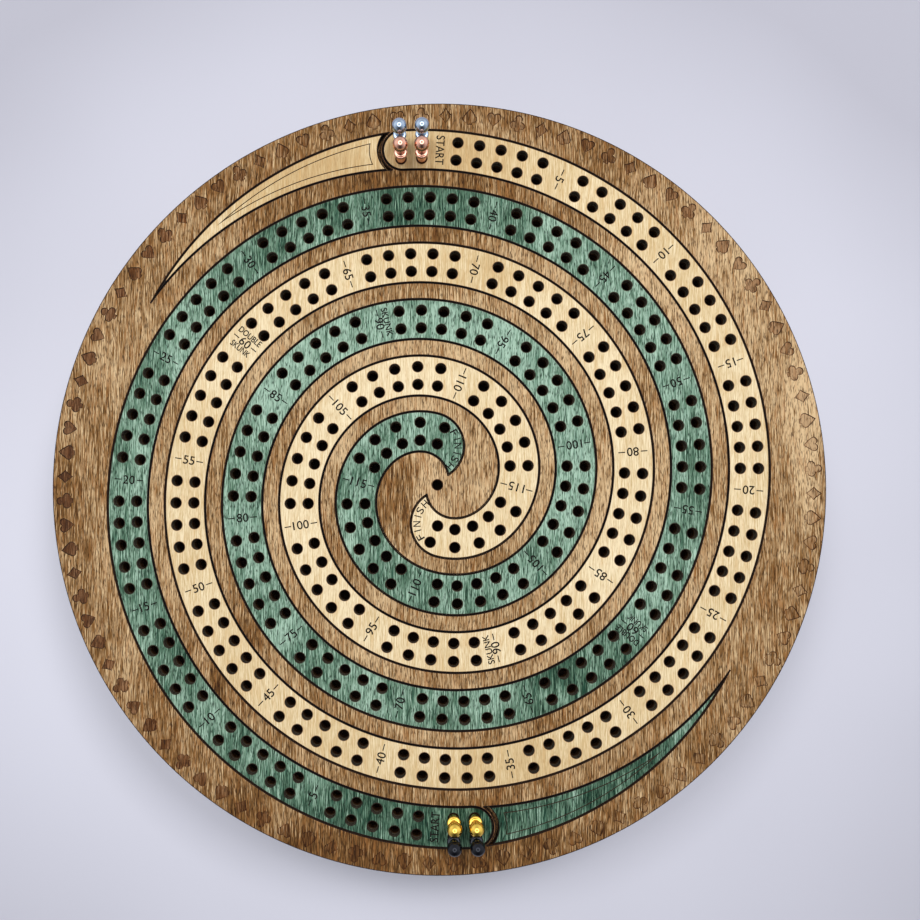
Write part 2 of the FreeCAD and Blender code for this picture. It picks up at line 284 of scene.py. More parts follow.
def circle_by_points(a, b, c):
    """Centre and radius of the circle through three points."""
    twice = 2 * (a[0] * (b[1] - c[1]) + b[0] * (c[1] - a[1]) + c[0] * (a[1] - b[1]))
    sa, sb, sc = [p[0] ** 2 + p[1] ** 2 for p in (a, b, c)]
    x = (sa * (b[1] - c[1]) + sb * (c[1] - a[1]) + sc * (a[1] - b[1])) / twice
    y = (sa * (c[0] - b[0]) + sb * (a[0] - c[0]) + sc * (b[0] - a[0])) / twice
    return ((x, y), hypot(a[0] - x, a[1] - y))


def circle_by_tangent(angle, offset, point):
    """Circle that leaves a track's edge smoothly and passes through a point."""
    ex, ey = spiral_edge(angle, offset)
    nx, ny = spiral_normal(angle)
    dx, dy = point[0] - ex, point[1] - ey
    radius = (dx * dx + dy * dy) / (-2.0 * (nx * dx + ny * dy))
    return ((ex - radius * nx, ey - radius * ny), radius)


def grown(circle, amount):
    return (circle[0], circle[1] + amount)


def arc(circle, start, end, clockwise, chord=1.2):
    """Points along an arc, from its start up to but not including its end."""
    (cx, cy), radius = circle
    a = atan2(start[1] - cy, start[0] - cx)
    b = atan2(end[1] - cy, end[0] - cx)
    sweep = (a - b) % (2 * pi) if clockwise else -((b - a) % (2 * pi))
    count = max(3, int(abs(sweep) * radius / chord))
    return [(cx + radius * cos(a - sweep * i / count), cy + radius * sin(a - sweep * i / count))
            for i in range(count)]


def spiral_run(start, end, offset, step=1.8):
    count = max(2, int(abs(end - start) / step))
    return [spiral_edge(start + (end - start) * i / count, offset) for i in range(count)]


def ring(radius, count=360):
    return [polar(radius, 360.0 * i / count) for i in range(count)]


def finish_tip():
    return polar(spiral_radius(finish_tip_angle) + finish_tip_offset, finish_tip_angle)


def track_line(growth):
    """Outline of a track, grown outwards by an amount."""
    half = 0.5 * track_width
    tip = finish_tip()
    outer = grown(circle_by_tangent(finish_outer_angle, half, tip), growth)
    inner = grown(circle_by_tangent(finish_inner_angle, -half, tip), -growth)
    reach = half + growth
    tip = meet(outer, inner, tip)
    outer_end = spiral_edge(finish_outer_angle, reach)
    inner_end = spiral_edge(finish_inner_angle, -reach)
    inner_start = spiral_edge(start_end_angle, -reach)
    outer_start = spiral_edge(start_end_angle, reach)
    return (spiral_run(start_end_angle, finish_outer_angle, reach)
            + arc(outer, outer_end, tip, True, fine_chord)
            + arc(inner, tip, inner_end, False, fine_chord)
            + spiral_run(finish_inner_angle, start_end_angle, -reach)
            + arc((start_centre, reach), inner_start, outer_start, True, fine_chord))


def tail_place(angle, offset):
    return polar(start_radius + offset, -angle)


def tail_sides(angles, outer, inner, tip_offset, growth):
    """The two long arcs of a tail and the points where they are pinned."""
    head, middle, tip_angle = angles
    tip = tail_place(tip_angle, tip_offset)
    outer_head = tail_place(head, outer[0])
    inner_head = tail_place(head, inner[0])
    outer_arc = circle_by_points(outer_head, tail_place(middle, outer[1]), tip)
    inner_arc = circle_by_points(inner_head, tail_place(middle, inner[1]), tip)
    outer_arc = grown(outer_arc, growth)
    inner_arc = grown(inner_arc, -growth)
    return outer_arc, inner_arc, outer_head, inner_head, meet(outer_arc, inner_arc, tip)


def tail_closed(sides, head_radius, head_chord):
    """Closed line of a tail, whose head is hollowed to go round the start end."""
    outer, inner, outer_head, inner_head, tip = sides
    head = (start_centre, head_radius)
    outer_head = meet(outer, head, outer_head)
    inner_head = meet(inner, head, inner_head)
    return (arc(outer, tip, outer_head, True, long_chord)
            + arc(head, outer_head, inner_head, False, head_chord)
            + arc(inner, inner_head, tip, False, long_chord))


def tail_line(growth, head_radius):
    """Outline of a tail, grown outwards by an amount."""
    sides = tail_sides((tail_head_angle, tail_middle_angle, tail_tip_angle),
                       tail_outer, tail_inner, tail_tip, growth)
    return tail_closed(sides, head_radius, fine_chord)


def score_line(growth):
    """The scored line inside a tail, grown outwards by an amount."""
    sides = tail_sides((score_head_angle, score_middle_angle, score_tip_angle),
                       score_outer, score_inner, score_tip, growth)
    outer_head = sides[2]
    reach = hypot(outer_head[0] - start_centre[0], outer_head[1] - start_centre[1])
    return tail_closed(sides, reach - growth, score_chord)


# ---- card suits ------------------------------------------------------------
def disc_exit(centre, radius, heading):
    """Distance from the origin, along a heading, at which a disc ends."""
    along = centre[0] * heading[0] + centre[1] * heading[1]
    inside = along * along - centre[0] ** 2 - centre[1] ** 2 + radius * radius
    return along + sqrt(inside) if inside > 0 else 0.0


def wedge_exit(points, heading):
    """Distance from the origin, along a heading, at which a closed line ends."""
    far = 0.0
    for (ax, ay), (bx, by) in zip(points, points[1:] + points[:1]):
        dx, dy = bx - ax, by - ay
        across = heading[0] * dy - heading[1] * dx
        if abs(across) < 1e-9:
            continue
        distance = (ax * dy - ay * dx) / across
        place = (ax * heading[1] - ay * heading[0]) / across
        if distance > 0 and -1e-6 <= place <= 1 + 1e-6:
            far = max(far, distance)
    return far


def suit_line(discs, wedges, inset, rays=44):
    """Outline of joined discs and wedges, drawn in by an inset."""
    line = []
    for index in range(rays):
        turn = 2 * pi * index / rays + 0.5 * pi
        heading = (cos(turn), sin(turn))
        reach = max([disc_exit(centre, radius, heading) for centre, radius in discs]
                    + [wedge_exit(points, heading) for points in wedges])
        line.append((heading[0] * (reach - inset), heading[1] * (reach - inset)))
    return line


def diamond_line(inset, half_width=2.25, half_height=2.7, hollow=0.88, rays=32):
    """Four points joined by slightly hollow sides."""
    line = []
    for index in range(rays):
        turn = 2 * pi * index / rays
        across, up = abs(cos(turn)) / half_width, abs(sin(turn)) / half_height
        reach = (across ** hollow + up ** hollow) ** (-1.0 / hollow) - inset
        line.append((cos(turn) * reach, sin(turn) * reach))
    return line


def leaf(half_width, low, high, bulge=0.25, steps=5):
    """Pointed shape with bulging sides: its tip is at high and its base at low."""
    side = []
    for index in range(steps + 1):
        t = index / steps
        side.append((half_width * (1 - t) + bulge * sin(pi * t), low + (high - low) * t))
    return side + [(-x, y) for x, y in reversed(side[:-1])]


# discs are a centre and a radius; all places are from the middle of the suit
STEM = [(-1.25, -2.75), (1.25, -2.75), (0.85, -2.45), (0.3, -1.2), (0.3, 0.3),
        (-0.3, 0.3), (-0.3, -1.2), (-0.85, -2.45)]
SUITS = {
    "spade": lambda inset: suit_line(
        [((-1.18, -0.75), 1.27), ((1.18, -0.75), 1.27)],
        [leaf(2.42, -0.6, 2.8), STEM], inset),
    "heart": lambda inset: suit_line(
        [((-1.12, 0.95), 1.25), ((1.12, 0.95), 1.25)],
        [leaf(2.3, 0.6, -2.45)], inset),
    "club": lambda inset: suit_line(
        [((0.0, 1.6), 1.3), ((-1.28, -0.6), 1.3), ((1.28, -0.6), 1.3)], [STEM], inset),
    "diamond": diamond_line,
}
SUIT_ORDER = ("diamond", "spade", "heart", "club")


# ---- lettering -------------------------------------------------------------
def glyph_lines(text):
    """Outlines of a text as lists of points, with its capitals 1 unit high."""
    curve = bpy.data.curves.new("lettering", "FONT")
    curve.body = text
    carrier = placed("lettering", curve)
    bpy.context.view_layer.update()
    outline = carrier.to_curve(bpy.context.evaluated_depsgraph_get())
    lines = []
    for spline in outline.splines:
        points = []
        knots = list(spline.bezier_points)
        for here, after in zip(knots, knots[1:] + knots[:1]):
            straight = (here.handle_right_type == "VECTOR" and after.handle_left_type == "VECTOR")
            steps = 1 if straight else 4
            for index in range(steps):
                t = index / steps
                u = 1.0 - t
                place = (u ** 3 * here.co + 3 * u * u * t * here.handle_right
                         + 3 * u * t * t * after.handle_left + t ** 3 * after.co)
                points.append((place.x, place.y))
        lines.append(points)
    bpy.data.objects.remove(carrier)
    bpy.data.curves.remove(curve)
    return lines


def box_of(lines):
    """Left, right, low and high of some lines."""
    xs = [x for line in lines for x, _ in line]
    ys = [y for line in lines for _, y in line]
    return min(xs), max(xs), min(ys), max(ys)


def fitted(text, height, width=None):
    """A text's outlines, centred, at a given height; its width follows unless it is given."""
    lines = glyph_lines(text)
    left, right, low, high = box_of(lines)
    grow_y = height / (high - low)
    grow_x = width / (right - left) if width else numeral_stretch * grow_y
    return [[((x - 0.5 * (left + right)) * grow_x, (y - 0.5 * (low + high)) * grow_y)
             for x, y in line] for line in lines]


def bolder(lines, amount):
    """Thickens lettering by moving its outlines sideways."""
    def area(line):
        return sum(a[0] * b[1] - b[0] * a[1] for a, b in zip(line, line[1:] + line[:1]))

    outward = copysign(amount, max((area(line) for line in lines), key=abs))
    moved = []
    for line in lines:
        points = []
        for before, here, after in zip(line[-1:] + line[:-1], line, line[1:] + line[:1]):
            dx, dy = after[0] - before[0], after[1] - before[1]
            size = hypot(dx, dy)
            points.append((here[0] + outward * dy / size, here[1] - outward * dx / size))
        moved.append(points)
    return moved


def dash(x):
    left, right = x - 0.5 * dash_length, x + 0.5 * dash_length
    low, high = -0.5 * dash_thickness, 0.5 * dash_thickness
    return [(left, low), (right, low), (right, high), (left, high)]


def numeral(number):
    """A number between two dashes."""
    lines = bolder(fitted(str(number), numeral_height), numeral_weight)
    dash_place = box_of(lines)[1] + dash_gap + 0.5 * dash_length
    return lines + [dash(-dash_place), dash(dash_place)]


def across_track(lines, step, ahead=0.0):
    """Lays lettering across the track: it reads inwards and its top faces along the way."""
    angle = step_angle(step)
    nx, ny = spiral_normal(angle)
    cx, cy = spiral_edge(angle, 0.0)
    laid = []
    for line in lines:
        laid.append([(cx - x * nx + (y + ahead) * ny, cy - x * ny - (y + ahead) * nx)
                     for x, y in line])
    return laid


def track_lettering():
    """Every numeral and word on one track."""
    start_word = fitted("START", numeral_height, start_word_width)
    marks = across_track(bolder(start_word, numeral_weight), start_word_step)
    for group in range(1, holes_per_lane // holes_per_group):
        step = group * (holes_per_group + 1) - 1
        number = group * holes_per_group
        marks += across_track(numeral(number), step, numeral_ahead.get(number, 0.0))
        for text, width, height, ahead in words_beside.get(number, ()):
            word = bolder(fitted(text, height, width), word_weight)
            marks += across_track(word, step, ahead)
    (cx, cy), radius = circle_by_tangent(finish_outer_angle, 0.5 * track_width, finish_tip())
    for letter, angle in finish_letters:
        width = finish_letter_i_width if letter == "I" else finish_letter_width
        turn = radians(angle)
        letter_lines = fitted(letter, finish_letter_height, width)
        for line in bolder(letter_lines, finish_letter_weight):
            marks.append([(cx + (radius - finish_letter_inset + y) * sin(turn) + x * cos(turn),
                           cy + (radius - finish_letter_inset + y) * cos(turn) - x * sin(turn))
                          for x, y in line])
    return marks


# ---- wire drawings that the laser follows ----------------------------------
CUT, SCORCH_EDGE, ENGRAVED, HOLE, ENGRAVED_INNER = range(5)


class Drawing:
    """Closed lines on the board's face, each with what the laser does there."""

    def __init__(self, turned=False):
        self.turn = -1.0 if turned else 1.0
        self.places, self.edges, self.part, self.deep = [], [], [], []

    def add(self, line, part, deep=0.0):
        first = len(self.places)
        count = len(line)
        for x, y in line:
            self.places.append((self.turn * x * MM, self.turn * y * MM, 0.0))
        self.edges += [(first + i, first + (i + 1) % count) for i in range(count)]
        self.part += [part] * count
        self.deep += [deep] * count

    def add_hole(self, x, y):
        """Adds the centre of a peg hole."""
        self.places.append((x * MM, y * MM, 0.0))
        self.part.append(HOLE)
        self.deep.append(0.0)

    def add_all(self, lines, part, deep=0.0):
        for line in lines:
            self.add(line, part, deep)

    def object(self, name):
        mesh = bpy.data.meshes.new(name)
        mesh.from_pydata(self.places, self.edges, [])
        mesh.attributes.new("part", "INT", "POINT").data.foreach_set("value", self.part)
        mesh.attributes.new("deep", "FLOAT", "POINT").data.foreach_set("value", self.deep)
        return placed(name, mesh)


# ---- node trees ------------------------------------------------------------
class Graph:
    """Adds nodes to a tree and joins them."""

    def __init__(self, tree):
        self.tree = tree

    def node(self, kind, inputs=None, **settings):
        made = self.tree.nodes.new(kind)
        for name, value in settings.items():
            setattr(made, name, value)
        for key, value in (inputs or {}).items():
            if isinstance(key, int):
                socket = made.inputs[key]
            else:
                socket = next(s for s in made.inputs if s.name == key and s.enabled)
            for each in value if isinstance(value, list) else [value]:
                if isinstance(each, bpy.types.NodeSocket):
                    self.tree.links.new(each, socket)
                else:
                    socket.default_value = each
        return made

    def get(self, kind, inputs=None, output=None, **settings):
        """Adds a node and returns one of its outputs."""
        made = self.node(kind, inputs, **settings)
        return next(s for s in made.outputs if s.enabled and output in (None, s.name))

    def math(self, operation, *values):
        return self.get("ShaderNodeMath", dict(enumerate(values)), operation=operation)

    def vector(self, operation, *values):
        return self.get("ShaderNodeVectorMath", dict(enumerate(values)), operation=operation)

    def sway(self, value, noise, share):
        """Moves a value up and down by a share of a noise about its middle."""
        return self.math("MULTIPLY_ADD", self.math("SUBTRACT", noise, 0.5), share, value)

    def noise(self, where, scale, detail, output="Fac"):
        return self.get("ShaderNodeTexNoise", {
            "Vector": where, "Scale": scale, "Detail": detail}, output)

    def scaled(self, where, *scale):
        return self.get("ShaderNodeMapping", {"Vector": where, "Scale": scale})

    def object_place(self):
        return self.get("ShaderNodeTexCoord", output="Object")

    def axes(self, vector):
        return self.node("ShaderNodeSeparateXYZ", {"Vector": vector}).outputs

    def upward(self, height):
        return self.get("ShaderNodeCombineXYZ", {"Z": height})

    def store(self, geometry, label, value, kind="FLOAT"):
        return self.get("GeometryNodeStoreNamedAttribute", {
            "Geometry": geometry, "Name": label, "Value": value},
            data_type=kind, domain="POINT")

    def stored(self, label, kind="FLOAT"):
        return self.get("GeometryNodeInputNamedAttribute", {"Name": label}, data_type=kind)

    def joined(self, *parts):
        return self.get("GeometryNodeJoinGeometry", {"Geometry": list(parts)})

    def real(self, geometry):
        return self.get("GeometryNodeRealizeInstances", {"Geometry": geometry})

    def faced(self, geometry, material, **choice):
        return self.get("GeometryNodeSetMaterial", {
            "Geometry": geometry, "Material": material, **choice})


def new_tree(name, sizes):
    """Geometry tree with named inputs; sizes gives each name with its default."""
    tree = bpy.data.node_groups.new(name, "GeometryNodeTree")
    face = tree.interface
    face.new_socket("Geometry", in_out="OUTPUT", socket_type="NodeSocketGeometry")
    face.new_socket("Geometry", in_out="INPUT", socket_type="NodeSocketGeometry")
    kinds = {float: "NodeSocketFloat", int: "NodeSocketInt"}
    for label, value in sizes.items():
        kind = kinds.get(type(value), "NodeSocket" + str(value))
        socket = face.new_socket(label, in_out="INPUT", socket_type=kind)
        if type(value) in kinds:
            socket.default_value = value
    graph = Graph(tree)
    entry = graph.node("NodeGroupInput")
    return graph, entry.outputs, graph.node("NodeGroupOutput").inputs["Geometry"]


def add_modifier(piece, graph, **values):
    modifier = piece.modifiers.new(graph.tree.name, "NODES")
    modifier.node_group = graph.tree
    named = {item.name: item.identifier for item in graph.tree.interface.items_tree
             if item.in_out == "INPUT"}
    for label, value in values.items():
        modifier[named[label.replace("_", " ")]] = value
    return modifier


def finished(piece):
    """Turns a piece with modifiers into a plain closed mesh that faces outwards."""
    bpy.context.view_layer.update()
    graph = bpy.context.evaluated_depsgraph_get()
    mesh = bpy.data.meshes.new_from_object(piece.evaluated_get(graph))
    piece.modifiers.clear()
    piece.data = mesh
    mesh.name = piece.name
    body = bmesh.new()
    body.from_mesh(mesh)
    bmesh.ops.dissolve_degenerate(body, dist=1e-7, edges=body.edges)
    bmesh.ops.recalc_face_normals(body, faces=body.faces)
    body.to_mesh(mesh)
    body.free()
    return piece


def hole_rows_tree():
    """Adds the peg-hole centres of both lanes along the spiral."""
    graph, given, result = new_tree("peg_hole_rows", {
        "Start Radius": 0.1, "End Radius": 0.02, "Turns": 2.6, "Start Turn": 0.0,
        "First Hole Length": 0.02, "Hole Spacing": 0.007, "Lane Spacing": 0.006,
        "Holes": 244, "Waiting Holes": 2, "Waiting Step": -1.65, "Group": 5,
        "Board Turn": 0.0, "Face": "Material"})
    guide = graph.get("GeometryNodeCurveSpiral", {
        "Resolution": guide_points, "Rotations": given["Turns"],
        "Start Radius": given["Start Radius"], "End Radius": given["End Radius"],
        "Height": 0.0, "Reverse": False})
    guide = graph.get("GeometryNodeTransform", {
        "Geometry": guide, "Rotation": graph.upward(given["Start Turn"])})
    index = graph.get("GeometryNodeInputIndex")
    lane = graph.math("MODULO", index, 2.0)
    place = graph.math("FLOOR", graph.math("DIVIDE", index, 2.0))
    played = graph.math("SUBTRACT", place, given["Waiting Holes"])
    gaps = graph.math("FLOOR", graph.math("DIVIDE", played, given["Group"]))
    waiting = graph.math("LESS_THAN", played, -0.5)
    step_played = graph.math("ADD", played, gaps)
    step_waiting = graph.math("SUBTRACT", given["Waiting Step"], place)
    chosen = graph.get("GeometryNodeSwitch", {
        "Switch": waiting, "False": step_played, "True": step_waiting}, input_type="FLOAT")
    length = graph.math("MULTIPLY_ADD", chosen, given["Hole Spacing"],
                        given["First Hole Length"])
    sample = graph.node("GeometryNodeSampleCurve", {"Curves": guide, "Length": length},
                        mode="LENGTH")
    outward = graph.vector("CROSS_PRODUCT", (0.0, 0.0, 1.0), sample.outputs["Tangent"])
    side = graph.math("MULTIPLY", graph.math("SUBTRACT", 0.5, lane), given["Lane Spacing"])
    aside = graph.get("ShaderNodeVectorMath", {0: outward, "Scale": side}, operation="SCALE")
    centre = graph.vector("ADD", sample.outputs["Position"], aside)
    row = graph.get("GeometryNodeMeshLine", {"Count": given["Holes"]})
    row = graph.get("GeometryNodeSetPosition", {"Geometry": row, "Position": centre})
    row = graph.get("GeometryNodeTransform", {
        "Geometry": row, "Rotation": graph.upward(given["Board Turn"])})
    row = graph.store(row, "part", HOLE, "INT")
    whole = graph.real(graph.joined(given["Geometry"], row))
    graph.tree.links.new(graph.faced(whole, given["Face"]), result)
    return graph


def suit_border_tree():
    """Repeats the four suits round the rim, each with its own strength of line and fill."""
    graph, given, result = new_tree("suit_border", {
        "Radius": 0.123, "Count": 96, "First Angle": 0.0,
        "diamond": "Object", "spade": "Object", "heart": "Object", "club": "Object",
        "Face": "Material"})
    index = graph.get("GeometryNodeInputIndex")
    share = graph.math("DIVIDE", index, given["Count"])
    angle = graph.math("MULTIPLY_ADD", share, 2 * pi, given["First Angle"])
    centre = graph.get("ShaderNodeCombineXYZ", {
        "X": graph.math("MULTIPLY", given["Radius"], graph.math("SINE", angle)),
        "Y": graph.math("MULTIPLY", given["Radius"], graph.math("COSINE", angle))})
    line = graph.get("GeometryNodeMeshLine", {"Count": given["Count"]})
    line = graph.get("GeometryNodeSetPosition", {"Geometry": line, "Position": centre})
    for label, heights in (("line", suit_line_burn), ("fill", suit_fill_burn)):
        strength = graph.get("ShaderNodeFloatCurve", {"Value": share})
        points = strength.node.mapping.curves[0].points
        while len(points) < len(heights):
            points.new(0.5, 0.5)
        for place, (point, height) in enumerate(zip(points, heights)):
            point.location = (place / (len(heights) - 1), height)
        strength.node.mapping.update()
        line = graph.store(line, label, strength)
    upright = graph.upward(graph.math("MULTIPLY", angle, -1.0))
    kind = graph.math("MODULO", index, 4.0)
    rows = []
    for order, name in enumerate(SUIT_ORDER):
        shape = graph.get("GeometryNodeObjectInfo", {"Object": given[name]}, "Geometry")
        wanted = graph.math("COMPARE", kind, float(order), 0.1)
        rows.append(graph.get("GeometryNodeInstanceOnPoints", {
            "Points": line, "Selection": wanted, "Instance": shape, "Rotation": upright}))
    border = graph.real(graph.joined(*rows))
    deep, line_burn, fill_burn = [graph.stored(label) for label in ("deep", "line", "fill")]
    deep = graph.math("MULTIPLY_ADD", deep, graph.math("SUBTRACT", line_burn, fill_burn),
                      fill_burn)
    border = graph.store(border, "deep", deep)
    whole = graph.real(graph.joined(given["Geometry"], border))
    graph.tree.links.new(graph.faced(whole, given["Face"]), result)
    return graph


def laser_cut_tree():
    """Turns a wire drawing into a sheet with peg holes, scorched edges and engraving."""
    graph, given, result = new_tree("laser_cut_sheet", {
        "Top": 0.0448, "Thickness": 0.0032, "Engraving Depth": 0.0002,
        "Hole Radius": 0.0017, "Scorch Width": 0.0002, "Face": "Material",
        "Edge": "Material"})
    fine_weld, sheet_weld, just_below = 1e-6, 1.5e-6, -1e-5
    drawing = given["Geometry"]
    code = graph.stored("part", "INT")

    def drawn(part):
        wanted = graph.get("FunctionNodeCompare", {"A": code, "B": part},
                           data_type="INT", operation="EQUAL")
        return graph.get("GeometryNodeSeparateGeometry", {
            "Geometry": drawing, "Selection": wanted}, "Selection", domain="POINT")

    def closed_lines(part):
        return graph.get("GeometryNodeMeshToCurve", {"Mesh": drawn(part)})

    def marked(lines, edge_burn, deep_burn):
        for label, value in (("edge", edge_burn), ("deep", deep_burn)):
            lines = graph.store(lines, label, value)
        return lines

    def hole_rings(radius, sides=28):
        circle = graph.get("GeometryNodeCurvePrimitiveCircle", {
            "Resolution": sides, "Radius": radius}, mode="RADIUS")
        return graph.real(graph.get("GeometryNodeInstanceOnPoints", {
            "Points": centres, "Instance": circle}))

    def filled(*parts):
        return graph.get("GeometryNodeFillCurve", {"Curve": graph.joined(*parts)},
                         mode="TRIANGLES")

    def lowered(mesh, drop):
        offset = graph.upward(graph.math("MULTIPLY", drop, -1.0))
        return graph.get("GeometryNodeSetPosition", {"Geometry": mesh, "Offset": offset})

    def walled(mesh, rise):
        neighbours = graph.get("GeometryNodeInputMeshEdgeNeighbors")
        border = graph.get("FunctionNodeCompare", {"A": neighbours, "B": 1},
                           data_type="INT", operation="EQUAL")
        return graph.get("GeometryNodeExtrudeMesh", {
            "Mesh": mesh, "Selection": border, "Offset": graph.upward(rise),
            "Offset Scale": 1.0}, mode="EDGES")

    def welded(mesh, distance):
        return graph.get("GeometryNodeMergeByDistance", {
            "Geometry": mesh, "Distance": distance})

    def at_nearest(label):
        return graph.get("GeometryNodeSampleIndex", {
            "Geometry": lines, "Value": graph.stored(label), "Index": nearest},
            data_type="FLOAT", domain="POINT")

    centres = drawn(HOLE)
    cut = marked(closed_lines(CUT), cut_burn, cut_wall_burn)
    fade = marked(closed_lines(SCORCH_EDGE), 0.0, 0.0)
    engraved, inner = closed_lines(ENGRAVED), closed_lines(ENGRAVED_INNER)
    holes = marked(hole_rings(given["Hole Radius"]), hole_burn, hole_wall_burn)
    wide = graph.math("ADD", given["Hole Radius"], given["Scorch Width"])
    hole_fade = marked(hole_rings(wide), 0.0, 0.0)

    face = filled(fade, hole_fade, engraved)
    band = filled(cut, fade, holes, hole_fade)
    recess = welded(graph.joined(filled(engraved, inner), filled(inner)), fine_weld)
    recess = walled(lowered(recess, given["Engraving Depth"]), given["Engraving Depth"])
    under = walled(lowered(filled(cut, holes), given["Thickness"]), given["Thickness"])
    solid = welded(graph.joined(face, band, recess, under), sheet_weld)

    lines = graph.joined(cut, fade, engraved, inner, holes, hole_fade)
    lines = graph.get("GeometryNodeCurveToMesh", {"Curve": lines})
    split = graph.axes(graph.get("GeometryNodeInputPosition"))
    flat = graph.get("ShaderNodeCombineXYZ", {"X": split["X"], "Y": split["Y"]})
    nearest = graph.get("GeometryNodeSampleNearest", {
        "Geometry": lines, "Sample Position": flat}, domain="POINT")

    below = graph.math("LESS_THAN", split["Z"], just_below)
    burn = graph.get("GeometryNodeSwitch", {
        "Switch": below, "False": at_nearest("edge"), "True": at_nearest("deep")},
        input_type="FLOAT")
    solid = graph.store(solid, "burn", burn)
    solid = graph.real(graph.get("GeometryNodeTransform", {
        "Geometry": solid, "Translation": graph.upward(given["Top"])}))
    normal = graph.axes(graph.get("GeometryNodeInputNormal"))["Z"]
    upright = graph.math("LESS_THAN", graph.math("ABSOLUTE", normal), 0.5)
    solid = graph.faced(solid, given["Face"])
    graph.tree.links.new(graph.faced(solid, given["Edge"], Selection=upright), result)
    return graph


# ---- materials -------------------------------------------------------------
def new_material(name):
    material = bpy.data.materials.new(name)
    material.use_nodes = True
    material.node_tree.nodes.clear()
    graph = Graph(material.node_tree)
    shader = graph.node("ShaderNodeBsdfPrincipled")
    output = graph.node("ShaderNodeOutputMaterial")
    graph.tree.links.new(shader.outputs["BSDF"], output.inputs["Surface"])
    return material, graph, shader


# sizes of the grain's marks, across and along it
BROAD = (12.0, 30.0)
BANDS = (1.5, 36.0)
FIBRES = (0.27, 6.5)
WARMTH = (0.9, 9.0)
PORES = (0.26, 1.8)
SOOT = (0.5, 0.8)


def grain_noise(graph, where, size, detail, rough, shift):
    """Noise whose marks have a size across X and along Y, moved along by a shift."""
    width, length = size
    mapped = graph.get("ShaderNodeMapping", {
        "Vector": where, "Location": (shift, 0.37 * shift, 0.0),
        "Scale": (1.0 / (width * MM), 1.0 / (length * MM), 1.0 / (width * MM))})
    return graph.get("ShaderNodeTexNoise", {
        "Vector": mapped, "Scale": 1.0, "Detail": detail, "Roughness": rough}, "Fac")


def ramp(graph, factor, stops):
    """Colour ramp from (place, colour) pairs."""
    stops = list(stops)
    made = graph.node("ShaderNodeValToRGB", {"Fac": factor})
    elements = made.color_ramp.elements
    while len(elements) < len(stops):
        elements.new(0.5)
    for element, (place, tint) in zip(elements, stops):
        element.position = place
        element.color = tint
    return made.outputs["Color"]


def remap(graph, value, low, high, to_low=0.0, to_high=1.0):
    """Brings a value from one range to another and keeps it inside that."""
    return graph.get("ShaderNodeMapRange", {
        "Value": value, "From Min": low, "From Max": high, "To Min": to_low,
        "To Max": to_high})


def mix(graph, factor, a, b, blend="MIX"):
    """Colour between a and b; the sockets of a colour mix go by their places."""
    made = graph.node("ShaderNodeMix", data_type="RGBA", blend_type=blend)
    for index, value in ((0, factor), (6, a), (7, b)):
        if isinstance(value, bpy.types.NodeSocket):
            graph.tree.links.new(value, made.inputs[index])
        else:
            made.inputs[index].default_value = value
    return made.outputs[2]


CHAR = colour(16, 11, 9)
BURNT = colour(76, 51, 37)
SINGED = colour(182, 160, 150)
CUT_ROUGHNESS = 0.72
PLAIN_GLOSS = 0.5
# painted sheen: the boards are painted lightest in a wide oval round their middle, where the
# overhead softbox shines in the varnish, and darker outside it
PAINTED_SHEEN_CENTRE = (6.0, 8.0)
PAINTED_SHEEN_SIZE = (185.0, 130.0)
PAINTED_SHEEN_SHADE = 0.33                    # share of its strength by which the rest is darker
SPOT_FADE = (1.25, 0.35)             # a spot begins and is full, in its half sizes
STAIN_RAGGED = 1.2                   # how far the grain pulls at a stain's rim
KNOT_LINE = (0.3, 0.8)               # width and strength of the lines round a knot
WANDER = 0.0022                      # how far the grain sways, in metres
WANDER_SCALE = 34.0
BAND_SHARE = 0.5                     # strengths beside a veneer's streak
FIBRE_SHARE = 1.9
TONES = (0.08, 0.5, 0.92)            # where a veneer is dark, middling and light
# amounts of burn from which and up to which a face changes
SINGE_RANGE = (0.0, 0.3)
BROWN_RANGE = (0.36, 0.75)
CHAR_RANGE = (0.50, 0.85)
SCORCH_STREAKS = (2600.0, 2600.0, 260.0)
GLUE_LINE = 0.09                     # share of a ply
SHEET_JOINT = 0.03                   # share of a sheet


def spot(graph, where, centre, size):
    """Distance from a place on the board, 1 at the rim of an ellipse of half sizes."""
    mapped = graph.get("ShaderNodeMapping", {
        "Vector": where, "Location": (centre[0] * MM, centre[1] * MM, 0.0),
        "Scale": (size[0] * MM, size[1] * MM, 1000.0)}, vector_type="TEXTURE")
    return graph.vector("LENGTH", mapped)


